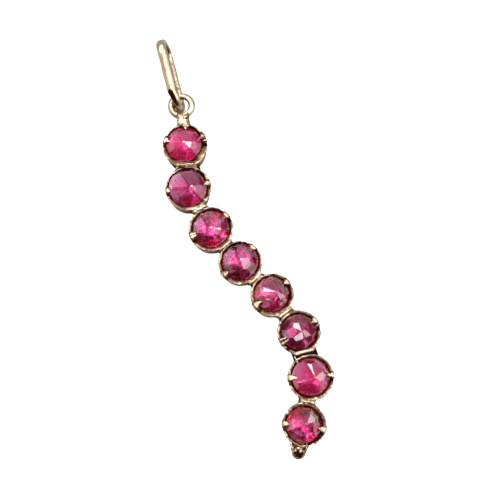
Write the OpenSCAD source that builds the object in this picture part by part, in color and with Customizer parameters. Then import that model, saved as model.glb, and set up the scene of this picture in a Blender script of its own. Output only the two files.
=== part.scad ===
// Lying pendant drop: eight round rose-cut garnets in closed-back gold collets soldered in a gentle S,
// with an eyelet ring and a long loose bail at the top and a gold ball at the foot.
// The front faces up (+Z), the top of the drop points along +Y, and the collet backs rest on z = 0.

/* [Collets] */
// Height of a collet from its closed back to its rim
collet_h = 3.0; // [2.7:0.1:3.2]
// Radius of a collet's back as a share of its rim radius
back_share = 0.895; // [0.88:0.005:0.91]
// Thickness of the collet wall at its rim
rim_t = 0.2; // [0.18:0.01:0.24]
// Thickness of the closed back
back_t = 0.35; // [0.3:0.05:0.5]
// Depth of the stone's ledge below the rim
seat_depth = 0.55; // [0.5:0.05:0.6]
// Width of the ledge under the stone's girdle
ledge_w = 0.2; // [0.15:0.01:0.25]
// Chamfer round a collet's back edge
back_edge = 0.12; // [0.05:0.01:0.2]

/* [Stones and foils] */
// Height of a stone from its flat base to its table
stone_h = 1.42; // [1.3:0.02:1.5]
// Height of the round girdle below the crown facets
girdle_h = 0.25; // [0.22:0.01:0.3]
// Height of the ring of corners between the star facets and the outer facets
star_h = 1.04; // [0.95:0.01:1.1]
// Radius of that ring as a share of the stone's radius
star_share = 0.55; // [0.5:0.01:0.6]
// Radius of the small rubbed table at the top
table_r = 0.13; // [0.1:0.01:0.2]
// Clear gap round a stone and between a stone and its foil
stone_gap = 0.03; // [0.02:0.01:0.04]
// Thickness of the foil under a stone
foil_t = 0.06; // [0.05:0.01:0.08]
// Depth of the dished middle of a foil
foil_dish = 0.3; // [0.2:0.05:0.5]

/* [Claws and joining bars] */
// Angle of rim that a claw takes up
claw_angle = 15; // [12:1:18]
// Reach of a claw in from the rim over the stone
claw_reach = 0.68; // [0.6:0.01:0.7]
// Reach of the claw under the eyelet
neck_claw_reach = 0.62; // [0.55:0.01:0.65]
// Thickness of a claw over the stone
claw_t = 0.14; // [0.1:0.01:0.18]
// Thickness of a joining bar between two collets
bar_t = 0.33; // [0.25:0.01:0.4]
// Depth of a joining bar down from the rim
bar_depth = 1.7; // [1:0.1:2]
// Width of the solder block between two collets
solder_w = 0.9; // [0.6:0.1:1.2]

/* [Eyelet and ball] */
// Diameter of the wire of the eyelet ring
eyelet_wire = 0.75; // [0.7:0.01:0.78]
// Outer diameter of the eyelet ring
eyelet_d = 3.1; // [3.08:0.01:3.14]
// Height of the eyelet ring's middle over the back
eyelet_z = 1.95; // [1.9:0.01:2]
// Distance from the first collet's middle to the eyelet's middle
eyelet_reach = 5.05; // [5:0.01:5.1]
// Direction of the eyelet from the first collet, anticlockwise from straight up
eyelet_turn = 6; // [4:0.5:8]
// Width of the neck at the eyelet and at the collet
neck_w = [1.35, 1.7]; // [1.3:0.05:1.8]
// Height span of the neck over the back
neck_z = [1.65, 2.75]; // [1.6:0.05:2.8]
// Diameter of the ball at the foot
ball_d = 1.45; // [1.4:0.01:1.5]
// Height of the ball's middle over the back
ball_z = 2.15; // [1.9:0.05:2.3]
// Direction of the ball from the last collet, clockwise from straight down
ball_turn = 11.5; // [8:0.5:15]
// Diameter of the ball's solder neck
ball_neck_d = 0.8; // [0.6:0.05:0.9]

/* [Bail] */
// Length of the bail outside
bail_l = 8.95; // [8.7:0.05:9.2]
// Size of the bail outside on edge
bail_depth = 3.8; // [3.7:0.05:3.85]
// Width of the bail's flattened wire
bail_w = 1.12; // [1.05:0.01:1.16]
// Thickness of the bail's wire
bail_t = 0.8; // [0.75:0.01:0.85]
// Slope of the bail to the left of straight up
bail_turn = 14.5; // [13:0.5:16]
// Lean of the bail about its own length
bail_lean = 10; // [8:0.5:11]
// How far the bail's line runs to the left of the eyelet's middle
bail_aside = 0.33; // [0.3:0.01:0.35]
// How far the bail's lower end reaches past the eyelet's middle
bail_hang = 0.66; // [0.6:0.01:0.68]
// Length over which the wire narrows to its lower end
bail_taper_l = 2.1; // [1.9:0.1:2.5]
// Edges of the narrowed lower end, from the bail's line
bail_tip = [0.05, 0.53]; // [0:0.01:0.55]

/* [Hidden] */
$fn = 48;

// Columns of the table of collets
STEP = 0;     // distance from the middle of the collet before
HEADING = 1;  // direction of that step, from straight down towards the right
RIM_R = 2;    // radius of the rim outside
STONE_R = 3;  // radius of the stone's girdle
CUT_TURN = 4; // direction of the first corner of the star facets
APEX_X = 5;   // place of the table aside from the middle, to the right
APEX_Y = 6;   // place of the table aside from the middle, upwards
CLAW_A = 7;   // direction of the claw on the left
CLAW_B = 8;   // direction of the claw on the right
BAR_L = 9;    // length of the joining bar after this collet, 0 for none
COLLETS = [
    [0.00,  0.0, 2.50, 1.97, 10, 0.15, -0.05, 165,  26, 2.50],
    [4.96,  4.8, 2.52, 2.12, 25, 0.40,  0.10, 187,  14, 1.65],
    [5.29, 29.0, 2.50, 2.04, 40, 0.05, -0.05, 200,  40, 1.65],
    [4.96, 40.6, 2.42, 2.00,  5, 0.10,  0.20, 218,  50, 1.65],
    [5.01, 44.2, 2.39, 1.90, 50, 0.45,  0.15, 215,  42, 1.70],
    [4.98, 35.4, 2.38, 1.91, 30, 0.27, -0.10, 222,  37, 2.25],
    [5.03, 14.2, 2.48, 2.03, 15, 0.35, -0.05, 183,   8, 1.55],
    [5.05, -8.7, 2.35, 1.88, 45, 0.25,  0.10, 176, -15, 0.00],
];
FIRST = 0;
LAST = len(COLLETS) - 1;

seat_z = collet_h - seat_depth;
foil_z = seat_z + stone_gap / 2;
stone_z = foil_z + foil_t + stone_gap;
star_corners = 6;
// The facets are cut on a body this much wider than the girdle, which the round girdle then trims
cut_share = 1.1;
// Unevenness of the hand-cut star corners, as a share of their radius
cut_wobble = 0.05;
claw_base = 0.3;
// Slope of the steepest outer facets, which the claws clear
facet_slope = 1.6;
solder_z = [0.8, 2.0];
solder_bite = 0.4;
wire_sides = 16;

// Point at a distance r from the origin in direction a
function polar(r, a) = r * [cos(a), sin(a)];

// Middle of collet i, counted along the chain of steps from the first collet
function along(i) = i == FIRST
    ? [0, 0]
    : along(i - 1) + polar(COLLETS[i][STEP], COLLETS[i][HEADING] - 90);

eyelet_at = polar(eyelet_reach, 90 + eyelet_turn);
ball_bite = 0.03;
wall_at_ball = COLLETS[LAST][RIM_R] * (back_share + (1 - back_share) * ball_z / collet_h);
ball_reach = wall_at_ball + ball_d / 2 - ball_bite;
ball_at = along(LAST) + polar(ball_reach, -90 - ball_turn);
bail_dir = 90 + bail_turn;
bail_foot = eyelet_at + polar(bail_aside, bail_dir + 90) - polar(bail_hang, bail_dir);
bail_top = bail_foot + polar(bail_l, bail_dir);
// Height at which the leaning bail just rests on its lower leg
bail_z = (bail_depth - bail_t) / 2 * cos(bail_lean)
    + norm([bail_t / 2 * cos(bail_lean), bail_w / 2 * sin(bail_lean)]);

// The origin is under the middle of the outline: bail to collet 7 across, bail to ball along
outline_left = bail_top[0] - bail_w / 2 * cos(bail_turn) + bail_depth / 4 * sin(bail_turn)
    - bail_depth / 4 * sin(bail_lean);
outline_right = along(6)[0] + COLLETS[6][RIM_R];
outline_top = bail_top[1];
outline_foot = ball_at[1] - ball_d / 2;
middle = [outline_left + outline_right, outline_top + outline_foot] / 2;

// Puts what follows into the object's frame, with a given point of the drop's own plan at hand
module at(p, z = 0) {
    translate([p[0] - middle[0], p[1] - middle[1], z]) children();
}

// Outside of one collet: a plain cup that widens from its back to its rim
module collet_body(row) {
    rim = row[RIM_R];
    back = rim * back_share;
    rotate_extrude() polygon([
        [0, 0],
        [back - back_edge, 0],
        [back, back_edge],
        [rim, collet_h],
        [0, collet_h],
    ]);
}

// Room inside one collet: the opening round the stone, the ledge and the hollow down to the back
module collet_room(row) {
    bore = row[STONE_R] + stone_gap;
    mouth = row[RIM_R] - rim_t;
    above = 1;
    rotate_extrude() polygon([
        [0, back_t],
        [bore - ledge_w, back_t],
        [bore - ledge_w, seat_z],
        [bore, seat_z],
        [bore, seat_z + girdle_h],
        [mouth, collet_h],
        [mouth, collet_h + above],
        [0, collet_h + above],
    ]);
}

// One claw: a tab of the rim bent in over the edge of the stone and up along its facets
module claw(row, direction, reach, width) {
    rim = row[RIM_R];
    tip = rim - reach;
    tip_z = stone_z + girdle_h + stone_gap + (row[STONE_R] - tip) * facet_slope;
    rotate([0, 0, direction - width / 2]) rotate_extrude(angle = width) polygon([
        [rim - rim_t / 2, collet_h - claw_base],
        [rim - rim_t / 4, collet_h],
        [rim - rim_t, collet_h + claw_t],
        [tip + claw_t, tip_z + claw_t / 2],
        [tip, tip_z + claw_t / 2],
        [tip, tip_z],
        [row[STONE_R] + stone_gap, collet_h - claw_t / 2],
        [rim - rim_t * 0.9, collet_h - claw_t / 2],
    ]);
}

// The bar soldered across the gap between collet i and the next one, with its solder below
module joint(i) {
    run = COLLETS[i + 1][STEP];
    heading = COLLETS[i + 1][HEADING] - 90;
    gap = run - COLLETS[i][RIM_R] - COLLETS[i + 1][RIM_R];
    halfway = COLLETS[i][RIM_R] + gap / 2;
    at(along(i) + polar(halfway, heading)) rotate([0, 0, heading]) {
        translate([-bar_t / 2, -COLLETS[i][BAR_L] / 2, collet_h - bar_depth])
            cube([bar_t, COLLETS[i][BAR_L], bar_depth]);
        translate([-gap / 2 - solder_bite, -solder_w / 2, solder_z[0]])
            cube([gap + 2 * solder_bite, solder_w, solder_z[1] - solder_z[0]]);
    }
}

module eyelet() {
    at(eyelet_at, eyelet_z) rotate_extrude()
        translate([(eyelet_d - eyelet_wire) / 2, 0]) circle(d = eyelet_wire);
}

// The flat neck that carries the eyelet, wider where it meets the first collet
module neck() {
    near = COLLETS[FIRST][RIM_R] - rim_t;
    far = eyelet_reach - (eyelet_d - eyelet_wire) / 2;
    at([0, 0], neck_z[0]) rotate([0, 0, 90 + eyelet_turn])
        linear_extrude(neck_z[1] - neck_z[0]) polygon([
            [near, -neck_w[1] / 2],
            [far, -neck_w[0] / 2],
            [far, neck_w[0] / 2],
            [near, neck_w[1] / 2],
        ]);
}

module ball() {
    at(ball_at, ball_z) sphere(d = ball_d);
    at(ball_at, ball_z) rotate([0, 0, 90 - ball_turn]) rotate([0, 90, 0])
        cylinder(d = ball_neck_d, h = ball_d / 2 + rim_t);
}

// All the soldered gold in one piece
module setting() {
    color("gold") {
        difference() {
            union() {
                for (i = [FIRST : LAST]) at(along(i)) collet_body(COLLETS[i]);
                for (i = [FIRST : LAST - 1]) joint(i);
                eyelet();
                neck();
                ball();
            }
            for (i = [FIRST : LAST]) at(along(i)) collet_room(COLLETS[i]);
        }
        for (i = [FIRST : LAST]) at(along(i)) {
            claw(COLLETS[i], COLLETS[i][CLAW_A], claw_reach, claw_angle);
            claw(COLLETS[i], COLLETS[i][CLAW_B], claw_reach, claw_angle);
        }
        at(along(FIRST)) claw(COLLETS[FIRST], 90, neck_claw_reach, claw_angle * 1.4);
    }
}

// Star corner k of a stone: six of them, a little uneven, as cut by hand
function star_corner(row, k) = polar(
    row[STONE_R] * star_share * (1 + cut_wobble * sin(137 * k + 10 * row[CUT_TURN])),
    row[CUT_TURN] + k * 360 / star_corners
);

// A rose cut: flat base, round girdle, eighteen outer facets, six star facets and a small table
module stone(i) {
    row = COLLETS[i - 1];
    n = star_corners;
    wide = row[STONE_R] * cut_share;
    slope = (star_h - girdle_h) / (1 - star_share);
    low = girdle_h - slope * (cut_share - 1);
    apex = [row[APEX_X], row[APEX_Y]];
    edge = [for (k = [0 : 2 * n - 1]) polar(wide, row[CUT_TURN] + k * 180 / n)];
    star = [for (k = [0 : n - 1]) star_corner(row, k) + apex / 2];
    top = [for (k = [0 : n - 1]) star_corner(row, k) * table_r / row[STONE_R] / star_share + apex];
    points = concat(
        [for (p = edge) [p[0], p[1], 0]],
        [for (p = edge) [p[0], p[1], low]],
        [for (p = star) [p[0], p[1], star_h]],
        [for (p = top) [p[0], p[1], stone_h]]
    );
    rim = 2 * n;
    ring = 4 * n;
    cap = 5 * n;
    faces = concat(
        [[for (k = [0 : rim - 1]) k]],
        [for (k = [0 : rim - 1]) [k, rim + k, rim + (k + 1) % rim, (k + 1) % rim]],
        [for (k = [0 : n - 1]) [rim + 2 * k + 1, ring + k, ring + (k + 1) % n]],
        [for (k = [0 : n - 1]) [rim + 2 * k, ring + k, rim + 2 * k + 1]],
        [for (k = [0 : n - 1]) [rim + 2 * k + 1, ring + (k + 1) % n, rim + (2 * k + 2) % rim]],
        [for (k = [0 : n - 1]) [ring + k, cap + k, cap + (k + 1) % n, ring + (k + 1) % n]],
        [[for (k = [n - 1 : -1 : 0]) cap + k]]
    );
    color("crimson") at(along(i - 1), stone_z) intersection() {
        polyhedron(points, faces);
        cylinder(r = row[STONE_R], h = stone_h * 2);
    }
}

// The foil under a stone: a thin dish that hangs by its edge on the ledge
module foil(i) {
    edge = COLLETS[i - 1][STONE_R];
    inside = edge - ledge_w;
    deep = inside / 2;
    color("pink") at(along(i - 1), foil_z) rotate_extrude() polygon([
        [0, -foil_dish],
        [deep, -foil_dish],
        [inside, 0],
        [edge, 0],
        [edge, foil_t],
        [inside - foil_t, foil_t],
        [deep - foil_t, foil_t - foil_dish],
        [0, foil_t - foil_dish],
    ]);
}

// Section of the bail's flattened wire, rounded all round
function wire_section() = [for (k = [0 : wire_sides - 1])
    [bail_t / 2 * cos(k * 360 / wire_sides), bail_w / 2 * sin(k * 360 / wire_sides)]];

// One half of the bail along its line: a straight leg and half of an end bend on each side
module bail_loop() {
    bend = (bail_depth - bail_t) / 2;
    straight = bail_l - bail_depth;
    for (end = [0, 1]) translate([0, end * straight, 0])
        rotate([0, 0, 180 + end * 180]) rotate_extrude(angle = 180)
            translate([bend, 0]) polygon(wire_section());
    for (side = [-1, 1]) translate([side * bend, 0, 0]) rotate([-90, 0, 0])
        linear_extrude(straight) polygon(wire_section());
}

// Width left of the bail's wire: full at the top and narrowed to one side at the lower end
module bail_blank() {
    foot = -bail_depth / 2;
    reach = bail_l + 1;
    deep = bail_depth + 2;
    rotate([0, -90, 0]) linear_extrude(deep, center = true) polygon([
        [bail_tip[0], foot - 1],
        [bail_tip[0], foot],
        [-bail_w, foot + bail_taper_l * bail_w / (bail_w / 2 + bail_tip[0])],
        [-bail_w, reach],
        [bail_w, reach],
        [bail_w, foot + bail_taper_l],
        [bail_tip[1], foot],
        [bail_tip[1], foot - 1],
    ]);
}

module bail() {
    start = bail_foot + polar(bail_depth / 2, bail_dir);
    color("gold") at(start, bail_z) rotate([0, 0, bail_dir - 90]) rotate([0, -bail_lean, 0])
        rotate([0, 90, 0]) intersection() {
            bail_loop();
            bail_blank();
        }
}

setting();
bail();
for (i = [1 : 8]) stone(i);
for (i = [1 : 8]) foil(i);
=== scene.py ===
"""Looks of a lying pendant drop: eight foiled rose-cut garnets in worn gold collets, with an eyelet ring,
a long bail and a gold ball at the foot. Lengths in the code are millimetres unless a name says otherwise."""

import math
import random
from typing import NamedTuple

import bmesh
import bpy
import numpy as np
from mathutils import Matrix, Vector, noise
from mathutils.geometry import delaunay_2d_cdt


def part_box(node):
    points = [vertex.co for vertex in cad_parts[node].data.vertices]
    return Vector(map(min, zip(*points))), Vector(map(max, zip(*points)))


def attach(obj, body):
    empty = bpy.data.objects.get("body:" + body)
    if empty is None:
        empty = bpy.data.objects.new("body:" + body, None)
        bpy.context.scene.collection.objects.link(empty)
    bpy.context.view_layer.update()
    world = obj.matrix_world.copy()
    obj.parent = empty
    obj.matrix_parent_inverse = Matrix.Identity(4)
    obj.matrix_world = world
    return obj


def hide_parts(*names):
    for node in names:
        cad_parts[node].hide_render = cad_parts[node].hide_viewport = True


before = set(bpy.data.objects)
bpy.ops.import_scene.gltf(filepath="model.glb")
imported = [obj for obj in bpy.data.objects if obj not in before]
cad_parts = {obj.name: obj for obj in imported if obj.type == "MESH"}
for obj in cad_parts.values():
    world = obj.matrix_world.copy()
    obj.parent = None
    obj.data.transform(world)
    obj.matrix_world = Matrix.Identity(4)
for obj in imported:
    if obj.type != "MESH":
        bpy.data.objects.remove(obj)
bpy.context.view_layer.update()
# Without a seed the noise of the dents would change from run to run
noise.seed_set(1)

MM = 0.001
BODY = "root"

# Camera: over the drop and tilted a little towards its top
CAMERA_AT = (0.227, -22.225, 110.97)
CAMERA_TILT = 11.03
CAMERA_LENS = 72.0

# Collets
COLLET_H = 3.0
BACK_SHARE = 0.895
BACK_EDGE = 0.12
BACK_T = 0.35
SEAT_Z = 2.45
LEDGE_W = 0.2
STONE_GAP = 0.03
COLUMNS = 216

# Stones and foils
GIRDLE_H = 0.25
STONE_H = 1.42
POINT_H = 1.47
FACET_RUB = 0.035
FOIL_GAP = 0.03
FOIL_T = 0.03
FOIL_DISH = 0.2
CREASE_GAP = 0.62


class Collet(NamedTuple):
    """One collet with its foil, in mm and degrees, angles anticlockwise from +X."""

    rim: float  # outer radius of the rim
    bar: float  # length of the joining bar below, 0 for none
    gap: tuple  # direction in which the dark gap round the stone is widest, and how much wider it is there
    crumple: float  # height of the foil's creases, which also sets how crisp it is and how strongly painted light and shade mark it
    painted_light_turn: float  # direction of the foil's side that is painted lightest
    painted_light: tuple  # painted light of the foil on its shaded and lit sides


COLLETS = [
    Collet(2.50, 2.30, (45, 0.12), 0.012, 100, (0.90, 1.15)),
    Collet(2.52, 1.60, (60, 0.06), 0.045, -85, (0.20, 0.62)),
    Collet(2.50, 1.60, (60, 0.14), 0.09, 30, (0.30, 1.10)),
    Collet(2.42, 1.60, (45, 0.06), 0.10, 100, (0.00, 1.60)),
    Collet(2.39, 1.60, (0, 0.10), 0.10, 165, (0.00, 1.30)),
    Collet(2.38, 2.10, (-100, 0.10), 0.045, 80, (0.02, 0.46)),
    Collet(2.48, 1.50, (-140, 0.12), 0.02, 100, (0.68, 0.90)),
    Collet(2.35, 0.00, (-60, 0.24), 0.10, 225, (0.10, 1.25)),
]


class Cut(NamedTuple):
    """A rose cut in mm and degrees. A facet is the direction it faces and its tilt from level."""

    aside: tuple  # how far the stone is set from the middle of its collet
    point: tuple  # place of its point, from its own middle
    star: tuple  # facets that meet in the point
    outer: tuple  # facets that meet the girdle


def facets(tilt, *directions):
    """Facets of one tilt that face these directions."""
    return tuple((direction, tilt) for direction in directions)


CUTS = [
    Cut(
        (-0.15, 0.25), (0.06, -0.12),
        ((-35, 20), (25, 16), (85, 23), (145, 23), (205, 23), (265, 30)),
        facets(42, -22, -62, -95, -130, -160, 168, 135, 100, 65, 25),
    ),
    Cut(
        (-0.07, 0.14), (0.47, -0.13),
        ((-36, 23), (40, 24), (96, 25), (150, 25), (208, 25), (258, 30)),
        (*facets(42, -20, -62, -100, -140), (186, 37), (130, 39), (95, 38), (60, 39), (28, 42)),
    ),
    Cut(
        (0.0, 0.06), (0.03, -0.10),
        ((-12, 15), (48, 22), (100, 27), (152, 28), (205, 25), (260, 30), (-58, 21)),
        (*facets(42, 18, -42, -68, -100, -140, 180), (145, 39), (110, 38), (75, 39), (42, 42)),
    ),
    Cut(
        (0.03, 0.16), (0.08, 0.02),
        ((-40, 23), (48, 15), (100, 23), (150, 28), (200, 23), (242, 23)),
        facets(42, -35, -70, -110, -150, 172, 140, 105, 70, 35, 0),
    ),
    Cut(
        (-0.02, 0.14), (0.52, 0.05),
        ((12, 25), (72, 23), (116, 29), (160, 22), (200, 23), (270, 23), (-42, 23)),
        (
            (20, 48), (-14, 60), (-48, 50), (-80, 42), (-112, 42),
            (-150, 42), (170, 34), (140, 42), (105, 42), (65, 44),
        ),
    ),
    Cut(
        (0.0, 0.05), (0.27, -0.10),
        ((-20, 23), (85, 23), (133, 22), (179, 23), (250, 23), (-72, 20)),
        ((22, 40), (-50, 46), (-88, 42), (-125, 42), (-165, 42), (151, 36), (110, 38), (68, 38), (-12, 56)),
    ),
    Cut(
        (0.0, 0.04), (0.38, -0.10),
        ((14, 23), (72, 25), (108, 22), (160, 28), (205, 23), (-110, 30), (-52, 16)),
        (*facets(42, 165, 130, 95), (60, 44), (25, 50), (-10, 52), (-45, 46), *facets(42, -80, -120, -160)),
    ),
    Cut(
        (-0.06, -0.03), (0.26, 0.08),
        ((50, 23), (120, 33), (170, 23), (215, 23), (265, 23), (-42, 30)),
        (*facets(42, 150, 115), (80, 50), (48, 54), (16, 54), *facets(42, -25, -60, -100, -140, 180)),
    ),
]


def polar(r, degrees):
    a = math.radians(degrees)
    return np.array([r * math.cos(a), r * math.sin(a)])


COLLET_AT = []
STONE_AT = []
STONE_R = []
for number, cut in enumerate(CUTS):
    low, high = (np.array(corner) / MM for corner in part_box(f"stone_{number + 1}"))
    middle = (low + high)[:2] / 2
    COLLET_AT.append(middle)
    STONE_AT.append(middle + cut.aside)
    STONE_R.append((high - low)[0] / 2)
STONE_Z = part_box("stone_1")[0].z / MM


# Camera and stage


def stand_camera():
    camera = bpy.data.cameras.new("camera")
    camera.lens = CAMERA_LENS
    camera.sensor_width = 36.0
    stand = bpy.data.objects.new("camera", camera)
    stand.location = Vector(CAMERA_AT) * MM
    stand.rotation_euler = (math.radians(CAMERA_TILT), 0, 0)
    camera.clip_start = 0.005
    camera.clip_end = 5.0
    bpy.context.scene.collection.objects.link(stand)
    bpy.context.scene.camera = stand


stand_camera()


# Node helpers


def feed(tree, node, inputs):
    """Sets a node's inputs to values, or links them from sockets."""
    for key, value in inputs.items():
        if isinstance(value, bpy.types.NodeSocket):
            tree.links.new(value, node.inputs[key])
        else:
            node.inputs[key].default_value = value


def add(tree, kind, inputs=None, **settings):
    """A node of one kind with its settings and inputs."""
    node = tree.nodes.new(kind)
    for key, value in settings.items():
        setattr(node, key, value)
    feed(tree, node, inputs or {})
    return node


def calc(tree, operation, a, b=0.0, c=0.0):
    return add(tree, "ShaderNodeMath", {0: a, 1: b, 2: c}, operation=operation).outputs[0]


def ramp(tree, value, low, high, to_low=0.0, to_high=1.0, smooth=True):
    """A value taken from one range to another, and held at its ends."""
    inputs = {"Value": value, "From Min": low, "From Max": high, "To Min": to_low, "To Max": to_high}
    kind = "SMOOTHSTEP" if smooth else "LINEAR"
    return add(tree, "ShaderNodeMapRange", inputs, interpolation_type=kind).outputs[0]


def blend_colour(tree, share, a, b):
    inputs = {0: share, 6: a, 7: b}
    return add(tree, "ShaderNodeMix", inputs, data_type="RGBA", clamp_factor=True).outputs[2]


def clouds(tree, place, scale, detail, **more):
    """Soft noise about 0.5, of so many bumps to a metre."""
    inputs = {"Vector": place, "Scale": scale, "Detail": detail, **more}
    return add(tree, "ShaderNodeTexNoise", inputs).outputs["Fac"]


def mark(tree, name):
    """The value that a mesh carries under a name at its points or faces."""
    return add(tree, "ShaderNodeAttribute", attribute_name=name).outputs["Fac"]


def bump(tree, height, strength, depth):
    """The normal of a surface with this relief, its depth in mm."""
    inputs = {"Height": height, "Strength": strength, "Distance": depth * MM}
    return add(tree, "ShaderNodeBump", inputs).outputs[0]


def rgb(r, g, b):
    return (r, g, b, 1.0)


def shader_group(name, inputs, build):
    """A node group with named inputs, of which Place is a vector, and the outputs that its builder names."""
    group = bpy.data.node_groups.new(name, "ShaderNodeTree")
    for key, value in inputs.items():
        kind = "NodeSocketVector" if key == "Place" else "NodeSocketFloat"
        group.interface.new_socket(key, in_out="INPUT", socket_type=kind).default_value = value
    outputs = build(group, group.nodes.new("NodeGroupInput").outputs)
    for key in outputs:
        group.interface.new_socket(key, in_out="OUTPUT", socket_type="NodeSocketFloat")
    feed(group, group.nodes.new("NodeGroupOutput"), outputs)
    return group


def use_group(tree, group, inputs):
    return add(tree, "ShaderNodeGroup", inputs, node_tree=group).outputs


# Effects that materials share


def build_tool_marks(tree, given):
    """Soft dents of the hammer and fine facets of the graver, as one height."""
    dents = clouds(tree, given["Place"], given["Dents per metre"], 2.0)
    fine = calc(tree, "MULTIPLY", given["Dents per metre"], 4.3)
    cuts = add(tree, "ShaderNodeTexVoronoi", {"Vector": given["Place"], "Scale": fine}, feature="SMOOTH_F1")
    return {"Height": calc(tree, "MULTIPLY_ADD", cuts.outputs["Distance"], given["Graver share"], dents)}


def build_scratches(tree, given):
    """Hair-thin scratches that run several ways, as a mask."""
    total = 0.0
    for turn, scale in ((0.4, 1.0), (1.7, 0.7), (2.6, 1.3)):
        turned = add(tree, "ShaderNodeMapping", {"Vector": given["Place"], "Rotation": (0.2, 0.1, turn)})
        stretched = add(tree, "ShaderNodeMapping", {"Vector": turned.outputs[0], "Scale": (1.0, 0.06, 1.0)})
        size = calc(tree, "MULTIPLY", given["Lines per metre"], scale)
        lines = clouds(tree, stretched.outputs[0], size, 3.0)
        total = calc(tree, "MAXIMUM", ramp(tree, lines, 0.62, 0.68), total)
    return {"Mask": calc(tree, "MULTIPLY", total, given["Amount"])}


def build_tarnish_and_shade(tree, given):
    """Brown and black: painted shade wherever a point's shade mark is high, and grime that breaks up in spots
    everywhere.
    """
    patches = clouds(tree, given["Place"], given["Spots per metre"], 5.0, Roughness=0.6)
    finer = calc(tree, "MULTIPLY", given["Spots per metre"], 3.1)
    specks = clouds(tree, given["Place"], finer, 3.0)
    both = calc(tree, "MULTIPLY_ADD", specks, 0.5, patches)
    lifted = calc(tree, "MULTIPLY_ADD", given["Shade and grime"], 0.75, calc(tree, "SUBTRACT", both, 0.25))
    brown = calc(tree, "MULTIPLY", ramp(tree, lifted, 0.56, 0.84), given["Amount"])
    return {"Brown": brown, "Black": ramp(tree, lifted, 0.86, 1.1)}


def build_creases(tree, given):
    """Folds of a crumpled sheet, large ones with finer ones between: its height and a mask of the folds."""
    finer = 2.2
    heights = []
    for scale in (1.0, finer):
        size = calc(tree, "MULTIPLY", given["Folds per metre"], scale)
        sheet = clouds(tree, given["Place"], size, 1.0, Distortion=0.6)
        heights.append(calc(tree, "ABSOLUTE", calc(tree, "SUBTRACT", sheet, 0.5)))
    large, fine = heights
    nearest = calc(tree, "MINIMUM", large, calc(tree, "MULTIPLY", fine, finer))
    return {
        "Height": calc(tree, "MULTIPLY_ADD", fine, 0.35, large),
        "Fold": ramp(tree, nearest, 0.0, 0.08, 1.0, 0.0),
    }


def build_edge_wear(tree, given):
    """A mask of the rubbed edges, where the surface bends sharply outward."""
    bend = add(tree, "ShaderNodeNewGeometry").outputs["Pointiness"]
    return {"Mask": ramp(tree, bend, given["Start"], given["Full"])}


ORIGIN = (0.0, 0.0, 0.0)
TOOL_MARKS = shader_group(
    "tool_marks", {"Place": ORIGIN, "Dents per metre": 1500.0, "Graver share": 0.3}, build_tool_marks
)
SCRATCHES = shader_group(
    "hair_scratches", {"Place": ORIGIN, "Lines per metre": 6000.0, "Amount": 1.0}, build_scratches
)
TARNISH_AND_SHADE = shader_group(
    "tarnish_and_painted_shade",
    {"Place": ORIGIN, "Shade and grime": 0.0, "Spots per metre": 1200.0, "Amount": 1.0},
    build_tarnish_and_shade,
)
CREASES = shader_group("foil_creases", {"Place": ORIGIN, "Folds per metre": 900.0}, build_creases)
EDGE_WEAR = shader_group("rubbed_edges", {"Start": 0.52, "Full": 0.60}, build_edge_wear)


# Materials

GOLD_RUBBED = rgb(0.94, 0.86, 0.72)
# Brown and black of grime, and of painted shade in gaps, corners and hollows
BROWN_SOIL_AND_SHADE = rgb(0.27, 0.105, 0.055)
BLACK_SOIL_AND_SHADE = rgb(0.045, 0.008, 0.007)
# Foil colours in painted shade, in painted light and as a painted highlight
FOIL_PAINTED_SHADE = rgb(0.18, 0.012, 0.045)
FOIL_PAINTED_LIGHT = rgb(0.97, 0.12, 0.34)
FOIL_PAINTED_HIGHLIGHT = rgb(1.0, 0.97, 0.98)
STONE_TINT = rgb(0.85, 0.2, 0.635)
TINT_DENSITY = 1000.0
# The coat mirrors the studio as a polished garnet does. Below it the light bends less than in a real garnet,
# so that the foil is seen right up to the girdle
COAT_IOR = 2.0
STONE_IOR = 1.5


def new_material(name):
    material = bpy.data.materials.new(name)
    material.use_nodes = True
    tree = material.node_tree
    tree.nodes.clear()
    shader = add(tree, "ShaderNodeBsdfPrincipled")
    add(tree, "ShaderNodeOutputMaterial", {"Surface": shader.outputs[0]})
    return material, tree, shader, add(tree, "ShaderNodeTexCoord").outputs["Object"]


def gold_finish(name, light, deep, roughness, dent_depth, dents, graver, grime_and_shade, scratch):
    """Worn pale gold of two tones. Dents have a depth in mm and a number to the metre, graver is the share of
    its facets in the relief, and the last two are how strongly grime with its painted shade and the scratches
    show."""
    material, tree, shader, place = new_material(name)
    marks = use_group(tree, TOOL_MARKS, {"Place": place, "Dents per metre": dents, "Graver share": graver})
    lines = use_group(tree, SCRATCHES, {"Place": place, "Lines per metre": 5200.0, "Amount": scratch})
    spots = {"Place": place, "Shade and grime": mark(tree, "painted_shade_and_grime"), "Spots per metre": 1300.0, "Amount": grime_and_shade}
    # Painted shade in gaps and corners, and grime, darken the gold here
    soil_and_shade = use_group(tree, TARNISH_AND_SHADE, spots)
    rubbed = use_group(tree, EDGE_WEAR, {"Start": 0.515, "Full": 0.58})
    metal = blend_colour(tree, ramp(tree, clouds(tree, place, 420.0, 2.0), 0.35, 0.65), light, deep)
    worn = blend_colour(tree, rubbed["Mask"], metal, GOLD_RUBBED)
    browned = blend_colour(tree, soil_and_shade["Brown"], worn, BROWN_SOIL_AND_SHADE)
    dull = calc(tree, "MULTIPLY_ADD", soil_and_shade["Brown"], 0.2, roughness)
    duller = calc(tree, "MULTIPLY_ADD", soil_and_shade["Black"], 0.2, dull)
    height = calc(tree, "MULTIPLY_ADD", lines["Mask"], -0.08, marks["Height"])
    looks = {
        "Base Color": blend_colour(tree, soil_and_shade["Black"], browned, BLACK_SOIL_AND_SHADE),
        "Metallic": 1.0,
        "Roughness": calc(tree, "MULTIPLY_ADD", lines["Mask"], 0.15, duller),
        "Normal": bump(tree, height, 0.6, dent_depth),
    }
    feed(tree, shader, looks)
    return material


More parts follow.
